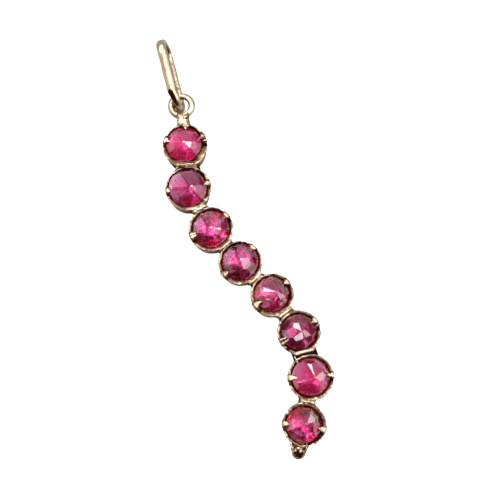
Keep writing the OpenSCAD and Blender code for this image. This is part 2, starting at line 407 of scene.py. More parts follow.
def garnet_finish():
    """Clear crimson stone with polished facets, light rubbed edges and a few hair scratches."""
    material, tree, shader, place = new_material("garnet")
    wear = mark(tree, "wear")
    lines = use_group(tree, SCRATCHES, {"Place": place, "Lines per metre": 3800.0, "Amount": 0.05})
    polish = ramp(tree, clouds(tree, place, 900.0, 3.0), 0.4, 0.8, 0.0, 0.03)
    rubbed = calc(tree, "MULTIPLY_ADD", wear, 0.4, polish)
    marks = use_group(tree, TOOL_MARKS, {"Place": place, "Dents per metre": 1500.0, "Graver share": 0.5})
    relief = bump(tree, marks["Height"], 0.7, 0.0015)
    looks = {
        "Base Color": rgb(1.0, 1.0, 1.0),
        "Metallic": 0.0,
        "Transmission Weight": 1.0,
        "IOR": STONE_IOR,
        "Roughness": calc(tree, "ADD", rubbed, lines["Mask"]),
        "Normal": relief,
        "Coat Weight": 1.0,
        "Coat IOR": COAT_IOR,
        "Coat Roughness": calc(tree, "MULTIPLY", wear, 0.5),
        "Coat Normal": relief,
    }
    feed(tree, shader, looks)
    inside = add(tree, "ShaderNodeVolumeAbsorption", {"Color": STONE_TINT, "Density": TINT_DENSITY})
    feed(tree, tree.get_output_node("ALL"), {"Volume": inside.outputs[0]})
    return material


def foil_finish():
    """Crumpled foil that shows through a stone, with painted light and shade: lighter on one side and dark
    red on the other, darker between the folds, with painted highlights along them.
    """
    material, tree, shader, place = new_material("pink_foil")
    painted_light = mark(tree, "painted_light")
    crisp = mark(tree, "crisp")
    sheet = use_group(tree, CREASES, {"Place": place, "Folds per metre": 450.0})
    # Painted shade darkens the hollows between the folds, and painted highlights lie along the folds
    painted_dark = calc(tree, "MULTIPLY", ramp(tree, sheet["Height"], 0.05, 0.25), crisp)
    fold = calc(tree, "MULTIPLY", sheet["Fold"], crisp)
    share = calc(tree, "MULTIPLY", painted_light, calc(tree, "MULTIPLY_ADD", painted_dark, -1.1, 1.2))
    lit = blend_colour(tree, share, FOIL_PAINTED_SHADE, FOIL_PAINTED_LIGHT)
    # The painted highlight along the folds, where the foil is painted lit
    rubbed = calc(tree, "MULTIPLY", fold, ramp(tree, painted_light, 0.2, 0.8))
    lines = use_group(tree, SCRATCHES, {"Place": place, "Lines per metre": 3000.0, "Amount": 0.15})
    matt = ramp(tree, crisp, 0.2, 1.0, 0.5, 0.2, smooth=False)
    looks = {
        "Base Color": blend_colour(tree, rubbed, lit, FOIL_PAINTED_HIGHLIGHT),
        "Metallic": 1.0,
        "Roughness": calc(tree, "ADD", lines["Mask"], matt),
        "Normal": bump(tree, calc(tree, "MULTIPLY", sheet["Height"], crisp), 1.0, -0.18),
    }
    feed(tree, shader, looks)
    return material


CAST_GOLD = gold_finish(
    "worn_gold", light=rgb(0.85, 0.70, 0.49), deep=rgb(0.71, 0.52, 0.32), roughness=0.3,
    dent_depth=0.075, dents=1700.0, graver=0.35, grime_and_shade=0.95, scratch=0.5,
)
SMOOTH_GOLD = gold_finish(
    "polished_gold", light=rgb(0.80, 0.68, 0.52), deep=rgb(0.72, 0.58, 0.42), roughness=0.32,
    dent_depth=0.006, dents=700.0, graver=0.1, grime_and_shade=0.9, scratch=0.15,
)
GARNET = garnet_finish()
FOIL = foil_finish()


# Mesh helpers


def make_piece(name, points, faces, material, node, domain, marks, crease):
    """A closed piece from points in mm, riding on the body: outward faces, smooth apart from creases sharper
    than so many degrees, with named marks of each point or face."""
    mesh = bpy.data.meshes.new(name)
    mesh.from_pydata([tuple(p) for p in np.asarray(points) * MM], [], faces)
    shape = bmesh.new()
    shape.from_mesh(mesh)
    bmesh.ops.recalc_face_normals(shape, faces=shape.faces)
    shape.to_mesh(mesh)
    shape.free()
    for key, values in marks.items():
        mesh.attributes.new(key, "FLOAT", domain).data.foreach_set("value", np.asarray(values, "f"))
    mesh.shade_smooth()
    mesh.set_sharp_from_angle(angle=math.radians(crease))
    mesh.materials.append(material)
    piece = bpy.data.objects.new(name, mesh)
    bpy.context.scene.collection.objects.link(piece)
    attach(piece, BODY)
    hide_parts(node)


class Shell:
    """Several closed surfaces gathered into one piece, with how much painted shade and grime each point
    carries.
    """

    def __init__(self):
        self.points = []
        self.faces = []
        self.painted_shade_and_grime = []

    def take(self, rings, painted_shade_and_grime, closed=False):
        """Rings of points joined in order, with flat ends or as a closed loop."""
        rings = np.asarray(rings, float)
        count, around, _ = rings.shape
        start = len(self.points)
        self.points.extend(rings.reshape(-1, 3))
        self.painted_shade_and_grime.extend(np.broadcast_to(painted_shade_and_grime, (count, around)).reshape(-1))
        for i in range(count if closed else count - 1):
            a = start + i * around
            b = start + (i + 1) % count * around
            for j in range(around):
                k = (j + 1) % around
                self.faces.append((a + j, a + k, b + k, b + j))
        if not closed:
            self.faces.append(tuple(start + j for j in reversed(range(around))))
            self.faces.append(tuple(start + (count - 1) * around + j for j in range(around)))

    def piece(self, name, material, node="setting", crease=38.0):
        marks = {"painted_shade_and_grime": self.painted_shade_and_grime}
        make_piece(name, self.points, self.faces, material, node, "POINT", marks, crease)


def roughen(points, *bumps):
    """Points moved by smooth noise, once for each size, depth and seed of its bumps."""
    moved = np.asarray(points).reshape(-1, 3)
    for size, depth, seed in bumps:
        shift = Vector((seed * 7.31, seed * 3.17, seed * 5.71))
        moved = np.array([p + np.array(noise.noise_vector(Vector(p) / size + shift)) * depth for p in moved])
    return moved.reshape(np.shape(points))


def oval(count, square):
    """Outline of a unit section as (side, up) pairs, round at square 2 and boxier above it."""
    pairs = []
    for k in range(count):
        a = 2 * math.pi * k / count
        c, s = math.cos(a), math.sin(a)
        power = 2 / square
        pairs.append((math.copysign(abs(c) ** power, c), math.copysign(abs(s) ** power, s)))
    return pairs


def along_path(corners, count):
    """Points and unit tangents of a smooth curve through a few corners."""
    corners = np.asarray(corners, float)
    knots = len(corners)
    padded = np.vstack([2 * corners[0] - corners[1], corners, 2 * corners[-1] - corners[-2]])
    places = []
    for t in np.linspace(0, knots - 1, count):
        i = min(int(t), knots - 2)
        u = t - i
        a, b, c, d = padded[i : i + 4]
        places.append(
            0.5 * (2 * b + (c - a) * u + (2 * a - 5 * b + 4 * c - d) * u**2 + (3 * b - a - 3 * c + d) * u**3)
        )
    places = np.array(places)
    tangents = np.gradient(places, axis=0)
    return places, tangents / np.linalg.norm(tangents, axis=1)[:, None]


def spread(values, count):
    """A few values spread evenly over a number of places."""
    return np.interp(np.linspace(0, 1, count), np.linspace(0, 1, len(values)), values)


def strip(corners, widths, heights, count=24, around=16, square=2.4, side=None):
    """Rings of a bar along a few corners, with its widths and heights on the way. Its width lies along a
    side, or level where none is given."""
    places, tangents = along_path(corners, count)
    widths = spread(widths, count) / 2
    heights = spread(heights, count) / 2
    section = oval(around, square)
    rings = []
    for i, (p, t) in enumerate(zip(places, tangents)):
        across = np.cross(t, (0, 0, 1)) if side is None else side - t * np.dot(side, t)
        across /= np.linalg.norm(across)
        rise = np.cross(across, t)
        rings.append([p + across * u * widths[i] + rise * v * heights[i] for u, v in section])
    return np.array(rings)


def round_ends(rings, share=0.6):
    """Adds shrinking rings at both ends of a bar, so that it ends in a dome."""

    def cap(ring, beyond):
        middle = ring.mean(axis=0)
        reach = np.linalg.norm(ring - middle, axis=1).min() * share
        out = middle - beyond.mean(axis=0)
        out /= np.linalg.norm(out)
        return [
            middle + (ring - middle) * math.cos(a) + out * reach * math.sin(a)
            for a in np.radians([88, 65, 42, 20])
        ]

    first = cap(rings[0], rings[1])
    last = cap(rings[-1], rings[-2])
    return np.array(first + list(rings) + last[::-1])


# Collets


def rim_wave(angles, seed, orders):
    """A wave round the rim, up to 1 high, from a few orders with seeded phases."""
    dice = random.Random(seed)
    total = np.zeros_like(angles)
    for order in orders:
        total += np.sin(order * angles + dice.uniform(0, 2 * math.pi)) / len(orders)
    return total


def bump_at(angles, direction, half_width):
    """1 at a direction in degrees, falling smoothly to 0 at half_width degrees from it."""
    off = (np.degrees(angles) - direction + 180) % 360 - 180
    near = np.clip(1 - np.abs(off) / half_width, 0, 1)
    return near * near * (3 - 2 * near)


# Cuts that the graver left in the rims beside the claws: stone, direction, half width in degrees, depth
NOTCHES = [
    (1, 4, 8, 0.32),
    (1, 180, 7, 0.22),
    (2, 198, 7, 0.25),
    (2, 3, 6, 0.18),
    (3, 30, 8, 0.4),
    (3, 216, 8, 0.25),
    (4, 40, 8, 0.38),
    (4, 232, 7, 0.22),
    (5, 31, 7, 0.32),
    (5, 231, 9, 0.3),
    (6, 10, 8, 0.3),
    (6, 237, 8, 0.25),
    (7, -4, 9, 0.4),
    (7, 197, 8, 0.28),
    (8, -27, 8, 0.35),
    (8, 192, 7, 0.22),
]
RIM_W = 0.13  # least width of the rim
RIM_LIFT = 0.1  # how far it rises and dips
INNER_SWELL = 0.07  # how far its inner edge wanders
OUTER_SWELL = 0.03  # and its outer edge
GAP_W = 0.09  # dark gap between the stone and the rim
WALL_SOIL = 0.1
WALL_STEPS = (0.0, 0.12, 0.25, 0.4, 0.55, 0.7, 0.82, 0.9)
# Corners of the profile that are dented: the wall, the rim and the gap round the stone
DENTED = slice(3, 21)


def bore_reach(number, angles):
    """Distance from a collet's middle to the wall of its bore, which follows the stone."""
    aside = np.array(CUTS[number].aside)
    along = aside[0] * np.cos(angles) + aside[1] * np.sin(angles)
    return along + np.sqrt((STONE_R[number] + STONE_GAP) ** 2 - aside @ aside + along**2)


def collet_profile(row, bore, lip):
    """Corners of a collet's wall from its back over the rim to its room: radius, height, painted shade and
    grime, unevenness.
    """
    crest = max(row.rim - 0.2, lip + 0.03)
    back = row.rim * BACK_SHARE
    top = COLLET_H
    corners = [(0.02, 0.0, 0.3, 0), (back * 0.5, 0.0, 0.3, 0), (back - BACK_EDGE, 0.0, 0.3, 0)]
    for t in WALL_STEPS:
        corners.append((back + (row.rim - back) * t, BACK_EDGE + (top - BACK_EDGE) * t, WALL_SOIL, t * 0.6))
    # Painted shadow lies under the rim's outer edge, and painted shade fills the gap round the stone down to
    # its seat and the room below
    return corners + [
        (row.rim - 0.005, top - 0.16, 0.65, 0.8),
        (row.rim, top - 0.1, 0.5, 0.9),
        (row.rim - 0.012, top - 0.04, 0.3, 1),
        (row.rim - 0.04, top + 0.01, 0.05, 1),
        (row.rim - 0.085, top + 0.035, 0.0, 1),
        (row.rim - 0.13, top + 0.01, 0.05, 1),
        (crest, top - 0.05, 0.3, 1),
        (lip, top - 0.12, 0.7, 0.9),
        (lip - 0.5 * (lip - bore), top - 0.17, 1.0, 0.6),
        (bore + 0.005, top - 0.23, 1.0, 0.3),
        (bore, SEAT_Z + GIRDLE_H + 0.02, 0.9, 0),
        (bore, SEAT_Z, 0.9, 0),
        (bore - LEDGE_W, SEAT_Z, 1.0, 0),
        (bore - LEDGE_W, BACK_T, 1.0, 0),
        (0.02, BACK_T, 1.0, 0),
    ]


def collet(number):
    """A closed-back cup that bulges and dips round its rim and is notched beside its claws."""
    row = COLLETS[number]
    angles = np.linspace(0, 2 * math.pi, COLUMNS, endpoint=False)
    lift = RIM_LIFT * rim_wave(angles, number, (2, 3, 5, 9, 14, 21))
    swell = rim_wave(angles, number + 50, (3, 4, 7, 11, 17))
    notch = np.zeros_like(angles)
    for owner, direction, half, depth in NOTCHES:
        if owner == number + 1:
            notch = np.maximum(notch, depth * bump_at(angles, direction, half))
    x0, y0 = COLLET_AT[number]
    bores = bore_reach(number, angles)
    lips = np.minimum(bores + GAP_W + row.gap[1] * bump_at(angles, row.gap[0], 80), row.rim - RIM_W)
    beside = np.zeros_like(angles)
    for other in (number - 1, number + 1):
        if 0 <= other < len(COLLETS):
            run = COLLET_AT[other] - COLLET_AT[number]
            beside = np.maximum(beside, bump_at(angles, math.degrees(math.atan2(run[1], run[0])), 48))
    rings = []
    painted_shade_and_grime = []
    for column, a in enumerate(angles):
        ring = []
        dark = []
        for r, z, soil_and_shade, share in collet_profile(row, bores[column], lips[column]):
            inside = r < row.rim - 0.08 and z > SEAT_Z + GIRDLE_H + 0.01
            radius = r + share * swell[column] * (INNER_SWELL if inside else -OUTER_SWELL)
            height = z + share * (lift[column] - notch[column])
            ring.append((x0 + radius * math.cos(a), y0 + radius * math.sin(a), height))
            # Grime runs down the wall in streaks, and painted shade darkens the wall beside the next collets
            if soil_and_shade == WALL_SOIL:
                spot = Vector((r * math.cos(a), r * math.sin(a), z * 0.25 + 5 * number))
                streak = noise.noise(spot * 2.2) * 0.7 + noise.noise(spot * 5.5) * 0.7
                soil_and_shade += max(0.0, streak) * 0.35 + 0.7 * beside[column]
            # Painted shade also darkens the notches
            dark.append(max(soil_and_shade, min(1.0, notch[column] * 3.0 * share)))
        rings.append(ring)
        painted_shade_and_grime.append(dark)
    rings = np.array(rings)
    rings[:, DENTED] = roughen(rings[:, DENTED], (0.55, 0.035, number + 1), (0.19, 0.028, number + 20))
    shell = Shell()
    shell.take(rings, np.array(painted_shade_and_grime), closed=True)
    # The small holes in the middle of the back and of the room's floor are closed flat
    around = rings.shape[1]
    ends = (0, around - 1)
    shell.faces = [f for f in shell.faces if {f[0] % around, f[1] % around} != set(ends)]
    shell.faces += [tuple(c * around + end for c in range(COLUMNS)) for end in ends]
    return shell


def facet_planes(number):
    """A point, from the stone's foot, and an outward normal for each facet and the small worn flat on top."""
    cut = CUTS[number]
    planes = []
    for group, at_point in ((cut.star, True), (cut.outer, False)):
        for direction, tilt in group:
            steep = math.radians(tilt)
            normal = np.array([*(polar(1, direction) * math.sin(steep)), math.cos(steep)])
            girdle = (*polar(STONE_R[number], direction), GIRDLE_H)
            planes.append((np.array((*cut.point, POINT_H) if at_point else girdle), normal))
    planes.append((np.array([0, 0, STONE_H]), np.array([0, 0, 1.0])))
    return planes


def crown_height(number, x, y):
    """Height of the stone's top over a place on the floor."""
    spot = np.array([x, y]) - STONE_AT[number]
    return STONE_Z + min(p[2] - np.dot(n[:2], spot - p[:2]) / n[2] for p, n in facet_planes(number))


class Claw(NamedTuple):
    """A tongue of a rim bent in over its stone, in mm and degrees."""

    stone: int
    direction: float
    reach: float
    base: float
    tip: float
    ridge: float  # 1 for a sharp ridge along its back, 0 for a flat tab
    bend: float = 0.0  # how far its tip leans aside


CLAWS = [
    Claw(1, 164, 0.66, 1.05, 0.2, 0.7, 0.05),
    Claw(1, 29, 0.62, 0.95, 0.22, 0.5, -0.05),
    Claw(1, 15, 0.5, 0.4, 0.14, 1, -0.1),
    Claw(1, 89, 0.66, 1.22, 0.2, 0.5),
    Claw(2, 187, 0.6, 0.9, 0.18, 0.4, 0.08),
    Claw(2, 15, 0.6, 0.95, 0.22, 0.3, -0.05),
    Claw(3, 197, 0.76, 0.7, 0.2, 0.9),
    Claw(3, 205, 0.8, 0.55, 0.2, 0.9, -0.05),
    Claw(3, 43, 0.56, 1, 0.42, 0.1),
    Claw(4, 217, 0.72, 1, 0.24, 0.3),
    Claw(4, 50, 0.52, 0.95, 0.34, 0.2),
    Claw(5, 213, 0.96, 0.95, 0.26, 0.2, -0.05),
    Claw(5, 42, 0.58, 1, 0.28, 0.4),
    Claw(6, 204, 0.9, 0.5, 0.18, 1),
    Claw(6, 216, 0.9, 0.5, 0.18, 1),
    Claw(6, 36, 0.62, 1, 0.26, 0.5),
    Claw(6, 20, 0.45, 0.4, 0.16, 1, -0.06),
    Claw(7, 182, 0.9, 0.85, 0.3, 0.1),
    Claw(7, 7, 0.66, 0.85, 0.24, 0.3),
    Claw(8, 178, 0.68, 0.9, 0.24, 0.2),
    Claw(8, -15, 0.7, 0.95, 0.18, 0.4),
]
CLAW_WIDTHS = (0.9, 1.0, 1.0, 0.75, 0.45, 0.0)  # from root to tip, 1 as wide as its base, 0 as its tip
CLAW_THICK = (0.22, 0.24, 0.26, 0.26, 0.22, 0.14)


def claw(shell, row, seed):
    """From under the rim over its edge and down to the crown, broad at its root."""
    rim = COLLETS[row.stone - 1].rim
    tip_r = rim - row.reach
    out = np.array([*polar(1, row.direction), 0])
    side = np.array([-out[1], out[0], 0])
    centre = np.array([*COLLET_AT[row.stone - 1], 0])
    tip = centre + out * tip_r
    tip_z = crown_height(row.stone - 1, tip[0], tip[1]) + 0.05
    steps = [
        (rim - 0.08, COLLET_H - 0.45, 0),
        (rim - 0.06, COLLET_H - 0.12, 0),
        (rim - 0.16, COLLET_H + 0.09, 0.1),
        (rim - 0.32, COLLET_H + 0.1, 0.3),
        (rim - 0.7 * row.reach, COLLET_H * 0.35 + tip_z * 0.65 + 0.05, 0.7),
        (tip_r, tip_z, 1),
    ]
    corners = [centre + out * r + side * row.bend * share + np.array([0, 0, z]) for r, z, share in steps]
    widths = [row.tip + (row.base - row.tip) * share for share in CLAW_WIDTHS]
    around, square = 24, 2.6 - 1.2 * row.ridge
    rings = round_ends(strip(corners, widths, CLAW_THICK, 26, around, square, side), 0.5)
    rings = roughen(rings, (0.3, 0.05, seed), (0.12, 0.025, seed + 40))
    # Painted shade darkens its sides, and a little its root, and leaves its back light
    edge = np.array([0.75 * abs(u) ** (2.4 - row.ridge) for u, _ in oval(around, square)])
    shell.take(rings, np.linspace(0.15, 0.02, len(rings))[:, None] + edge[None, :])


# Stones and foils


def stone(number):
    """A rose cut ground from a round blank, one facet after the other, with rubbed edges."""
    shape = bmesh.new()
    radius = STONE_R[number]
    high = STONE_H + 0.4
    bmesh.ops.create_cone(shape, cap_ends=True, segments=120, radius1=radius, radius2=radius, depth=high)
    bmesh.ops.translate(shape, verts=shape.verts, vec=(0, 0, high / 2))
    for point, normal in facet_planes(number):
        everything = shape.verts[:] + shape.edges[:] + shape.faces[:]
        bmesh.ops.bisect_plane(
            shape, geom=everything, dist=1e-5, plane_co=point, plane_no=normal, clear_outer=True
        )
        open_edges = [e for e in shape.edges if e.is_boundary]
        if open_edges:
            bmesh.ops.holes_fill(shape, edges=open_edges, sides=0)
    bmesh.ops.remove_doubles(shape, verts=shape.verts, dist=0.004)
    shape.normal_update()
    sharp = [e for e in shape.edges if len(e.link_faces) == 2 and e.calc_face_angle() > math.radians(5)]
    rubbed = bmesh.ops.bevel(
        shape, geom=sharp, offset=FACET_RUB, segments=1, profile=0.5, affect="EDGES", clamp_overlap=True
    )["faces"]
    shape.faces.index_update()
    rubbed = {face.index for face in rubbed}
    bmesh.ops.translate(shape, verts=shape.verts, vec=(*STONE_AT[number], STONE_Z))
    points = [tuple(v.co) for v in shape.verts]
    faces = [tuple(v.index for v in f.verts) for f in shape.faces]
    shape.free()
    marks = {"wear": [index in rubbed for index in range(len(faces))]}
    name = f"stone_{number + 1}"
    make_piece(f"cut_{name}", points, faces, GARNET, name, "FACE", marks, 4.0)


def foil(number):
    """A crumpled sheet under the stone: a net of flat scraps between seeded points, with a thin back."""
    row = COLLETS[number]
    dice = random.Random(900 + number)
    reach = STONE_R[number] - 0.04
    turns = [2 * math.pi * k / 30 for k in range(30)]
    spots = [(reach * math.cos(a), reach * math.sin(a)) for a in turns]
    misses = 0
    while misses < 200:
        r, a = reach * math.sqrt(dice.random()) * 0.95, dice.uniform(0, 2 * math.pi)
        spot = (r * math.cos(a), r * math.sin(a))
        if all(math.dist(spot, other) > CREASE_GAP for other in spots):
            spots.append(spot)
            misses = 0
        misses += 1
    found = delaunay_2d_cdt([Vector(s) for s in spots], [], [], 0, 1e-6)
    flat, faces = found[0], [tuple(f) for f in found[2]]
    top_z = STONE_Z - FOIL_GAP
    ledge = STONE_R[number] - LEDGE_W
    bright_side = Vector(polar(1, row.painted_light_turn))
    dull, bright = row.painted_light
    points = []
    painted_light = []
    for spot in flat:
        share = spot.length / reach
        fold = row.crumple * (0.6 * dice.random() + 1.2 * abs(noise.noise(Vector((*spot, number)) * 1.6)))
        z = top_z - FOIL_DISH * (1 - share**2) - fold * (1 - share**6)
        if spot.length > ledge - 0.1:
            z = max(z, SEAT_Z + 0.04)
        points.append((*(STONE_AT[number] + spot), z if share < 0.99 else top_z))
        # Painted light: the foil is lighter towards one side of the stone
        across = min(1.0, max(0.0, spot.dot(bright_side) / reach * 0.9 + 0.45))
        painted_light.append(dull + (bright - dull) * across * across * (3 - 2 * across))
    count = len(points)
    scraps = []
    # Each scrap's painted light is raised or lowered at random
    for face in faces:
        level = sum(painted_light[i] for i in face) / len(face)
        scraps.append(level * (1 + row.crumple * 10 * (dice.random() - 0.6)))
    rim = [i for i, spot in enumerate(flat) if spot.length > reach * 0.99]
    rim.sort(key=lambda i: math.atan2(flat[i].y, flat[i].x))
    points += [(x, y, z - FOIL_T) for x, y, z in points]
    faces += [tuple(count + i for i in reversed(f)) for f in faces]
    faces += [(a, b, count + b, count + a) for a, b in zip(rim, rim[1:] + rim[:1])]
    # A sheet with creases under 0.02 mm is smooth
    crisp = min(1.0, max(0.0, row.crumple - 0.02) * 16)
    marks = {"painted_light": scraps * 2 + [dull] * len(rim), "crisp": [crisp] * len(faces)}
    name = f"foil_{number + 1}"
    make_piece(f"crumpled_{name}", points, faces, FOIL, name, "FACE", marks, 8.0)


for number in range(len(COLLETS)):
    cup = collet(number)
    for seed, tongue in enumerate(CLAWS):
        if tongue.stone == number + 1:
            claw(cup, tongue, seed)
    cup.piece(f"collet_{number + 1}", CAST_GOLD)
    stone(number)
    foil(number)


# Joining bars

BAR_DEPTH = 1.7
BAR_COVER = 0.13
SOLDER_W = 0.95


class Web(NamedTuple):
    """The top of a joining bar: lengths in mm along the run from the upper collet to the lower one."""

    line: float  # where its bright ridge lies, from the middle of the gap
    half: float  # half the width of that ridge
    above: float  # how far the bar at least covers the upper rim, from the middle of the gap
    soil_and_shade: tuple  # painted shade above and below the ridge, with some grime


WEBS = [
    Web(-0.29, 0.09, 0.50, (0.50, 0.55)),
    Web(0.00, 0.17, 0.25, (0.45, 0.60)),
    Web(-0.10, 0.15, 0.28, (0.45, 0.60)),
    Web(-0.13, 0.17, 0.32, (0.45, 0.55)),
    Web(-0.12, 0.17, 0.32, (0.45, 0.60)),
    Web(-0.28, 0.20, 0.52, (0.45, 1.00)),
    Web(0.04, 0.18, 0.38, (0.35, 0.50)),
]


class Ridge(NamedTuple):
    """A further strip of metal on a joining bar, placed across and along the run from its middle, in mm."""

    bar: int
    start: tuple
    end: tuple
    width: float
    thick: float
    rise: float  # how far its top stands above the bar's
    # painted shade and grime on the strip
    soil_and_shade: float


BAR_RIDGES = [
    Ridge(1, (-1.1, -0.05), (-1.12, 0.42), 0.16, 0.5, -0.06, 0.1),
    Ridge(1, (1.08, -0.05), (1.0, 0.4), 0.16, 0.5, -0.06, 0.1),
    Ridge(2, (-0.7, -0.1), (-0.5, 0.22), 0.3, 0.6, -0.02, 0.3),
    Ridge(5, (-0.55, 0.3), (0.35, 0.3), 0.16, 0.5, 0.0, 0.05),
    Ridge(6, (-1.12, 0.0), (-1.0, 0.7), 0.18, 0.6, -0.05, 0.1),
]


def joining_bar(number):
    """The ridged bar across the gap between two collets, its further strips and its solder."""
    here, there = COLLET_AT[number], COLLET_AT[number + 1]
    row, after = COLLETS[number], COLLETS[number + 1]
    run = there - here
    length = np.linalg.norm(run)
    run /= length
    across = np.array([-run[1], run[0]])
    halfway = here + run * (row.rim + (length - row.rim - after.rim) / 2)
    half = row.bar / 2
    top = COLLET_H + 0.08
    form = WEBS[number]
    stations = 64
    on_top = 41
    level = np.concatenate([np.linspace(-1, 1, on_top), np.linspace(0.9, -0.9, 11)])
    rings = np.zeros((stations, len(level), 3))
    # Painted shade darkens the bar's sides and underside and its top away from the ridge
    soil_and_shade = np.full((stations, len(level)), 0.95)
    for i, t in enumerate(np.linspace(-1, 1, stations)):
        s = t * half
        upper = length / 2 + (row.rim - after.rim) / 2 - math.sqrt(row.rim**2 - s**2)
        lower = length / 2 - (row.rim - after.rim) / 2 - math.sqrt(after.rim**2 - s**2)
        for j, u in enumerate(level):
            x = u * (max(upper + BAR_COVER, form.above) if u < 0 else lower + BAR_COVER)
            z = top - BAR_DEPTH
            if j < on_top:
                ridge = math.exp(-(((x - form.line) / form.half) ** 4))
                worn = 0.14 * abs(u) ** 3 + 0.16 * max(0.0, (abs(t) - 0.85) / 0.15) ** 2
                z = top - 0.02 + 0.08 * ridge - worn
                grime_and_shade = form.soil_and_shade[0] if x < form.line else form.soil_and_shade[1]
                soil_and_shade[i, j] = grime_and_shade * (1 - ridge) ** 0.7 + 0.25 * abs(u) ** 4
            rings[i, j] = (*(halfway + across * s * (1 + 0.34 * u * u) + run * x), z)
    shell = Shell()
    shell.take(roughen(rings, (0.3, 0.04, number + 70), (0.13, 0.025, number + 75)), soil_and_shade)
    for extra in BAR_RIDGES:
        if extra.bar == number + 1:
            z = top + extra.rise - extra.thick / 2
            places = (extra.start, extra.end)
            ends = [(*(halfway + across * aside + run * along), z) for aside, along in places]
            line = [ends[0], np.mean(ends, axis=0), ends[1]]
            piece = strip(line, [extra.width], [extra.thick], 20, 14, 2.2)
            shell.take(roughen(round_ends(piece, 0.8), (0.25, 0.03, number + 90)), extra.soil_and_shade)
    line = [(*(halfway + across * SOLDER_W * t), 1.5) for t in (-0.5, 0, 0.5)]
    fillet = strip(line, [0.5, 0.75, 0.5], [1.4, 1.6, 1.4], 18, 16, 2.0)
    # The solder between the collets is darkened with painted shade
    shell.take(round_ends(roughen(fillet, (0.4, 0.08, number + 80))), 0.95)
    shell.piece(f"bar_{number + 1}", CAST_GOLD)


for number in range(len(COLLETS) - 1):
    joining_bar(number)


# Eyelet ring and neck

EYELET_AT = np.array([-6.981, 15.787, 1.95])
EYELET_R = 1.175
EYELET_WIRE = 0.75


def eyelet():
    """The ring of round wire, worn thin at its top where the bail hangs."""
    rings = []
    soil_and_shade = []
    count = 96
    section = oval(24, 2.1)
    for i in range(count):
        a = 2 * math.pi * i / count
        out = np.array([math.cos(a), math.sin(a), 0])
        worn = 1 - 0.06 * math.exp(-(((math.degrees(a) - 100) / 30) ** 2))
        wire = EYELET_WIRE / 2 * (1 + 0.03 * math.sin(3 * a + 1)) * worn
        middle = EYELET_AT + out * EYELET_R * (1 + 0.012 * math.sin(2 * a + 0.5))
        rings.append([middle + out * wire * u + np.array([0, 0, wire * v]) for u, v in section])
        # Painted shade darkens the inside of the ring and its lower left, and a little of its outer edge
        low = 0.35 * max(0.0, -out @ np.array([0.6, 0.8, 0]))
        soil_and_shade.append([low - 0.3 + 0.9 * max(0.0, -u - 0.25) + 0.3 * max(0.0, u - 0.6) for u, _ in section])
    shell = Shell()
    shell.take(roughen(rings, (0.6, 0.02, 5)), np.array(soil_and_shade), closed=True)
    shell.piece("eyelet_ring", SMOOTH_GOLD, crease=60.0)


def neck():
    """The rough plate between the ring and the first collet, with a groove and a small pit on top."""
    foot = COLLET_AT[0]
    up = EYELET_AT[:2] - foot
    reach = np.linalg.norm(up)
    up /= reach
    side = np.array([up[1], -up[0]])
    near, far = COLLETS[0].rim - 0.2, reach - EYELET_R + 0.12
    count, around = 48, 40
    corners = [
        (*(foot + up * (near + (far - near) * t) + side * shift), z)
        for t, shift, z in ((0, 0.05, 2.42), (0.3, 0.05, 2.3), (0.65, 0.06, 2.2), (1, 0.05, 2.15))
    ]
    rings = strip(corners, [1.62, 1.42, 1.36, 1.42], [1.3, 1.2, 1.1, 0.95], count, around, 3.4)
    rings = roughen(rings, (0.5, 0.06, 41), (0.14, 0.04, 42))
    edge = np.abs(np.array([u for u, _ in oval(around, 3.4)]))
    # Painted shade darkens the plate's edges, its pit and its groove
    soil_and_shade = np.tile(0.1 + 0.7 * edge**6, (count, 1))
    pit = np.array([*(foot + up * (near + 0.62 * (far - near)) + side * 0.5), 2.75])
    groove_from = np.array([*(foot + up * far + side * -0.1), 2.7])
    for i in range(count):
        for j in range(around):
            p = rings[i, j]
            deep = math.exp(-(np.linalg.norm(p - pit) / 0.14) ** 2)
            down = np.clip(np.dot(groove_from[:2] - p[:2], up) / 0.55, 0, 1)
            across = abs(np.dot(p[:2] - groove_from[:2], side)) / (0.05 + 0.22 * (1 - down))
            groove = math.exp(-(across**2)) * (1 - down) if p[2] > 2.3 else 0.0
            rings[i, j, 2] -= 0.3 * deep + 0.18 * groove
            soil_and_shade[i, j] = max(soil_and_shade[i, j], deep, 0.5 * groove)
    shell = Shell()
    shell.take(rings, soil_and_shade)
    # A lobe of solder that ran up into the left of the ring
    places = ((-0.42, -0.95), (-0.62, -0.55), (-0.66, -0.12), (-0.6, 0.15))
    line = [(*(EYELET_AT[:2] + place), 1.85) for place in places]
    lobe = strip(line, [0.55, 0.62, 0.5, 0.28], [0.6, 0.6, 0.5, 0.3], 20, 18)
    shell.take(roughen(round_ends(lobe, 0.7), (0.25, 0.06, 43)), 0.42)
    shell.piece("neck", CAST_GOLD)


eyelet()
neck()


# Bail

BAIL_FOOT = np.array([-7.135, 15.065, 1.883])
BAIL_L = 8.95
BAIL_DEPTH = 3.8
BAIL_W = 1.12
BAIL_T = 0.8
BAIL_TURN = 14.5
BAIL_LEAN = 10.0
BAIL_TAPER = 2.1
BAIL_TIP = (0.05, 0.53)


def front_seam_and_painted_dark(y, u):
    """Darkening of the front leg: a thin dark line left of its middle, which opens into a painted dark
    reflection near its foot.
    """
    seam_u = -0.22 + 0.03 * math.sin(y * 2.1)
    seam = math.exp(-(((u - seam_u) / 0.045) ** 2)) if 1.9 < y < 6.7 else 0.0
    painted_dark = ((y - 1.5) / 0.8) ** 2 + ((u + 0.38) / 0.62) ** 2
    return max(0.9 * seam, min(1.0, max(0.0, 2.6 - 2.0 * painted_dark)))


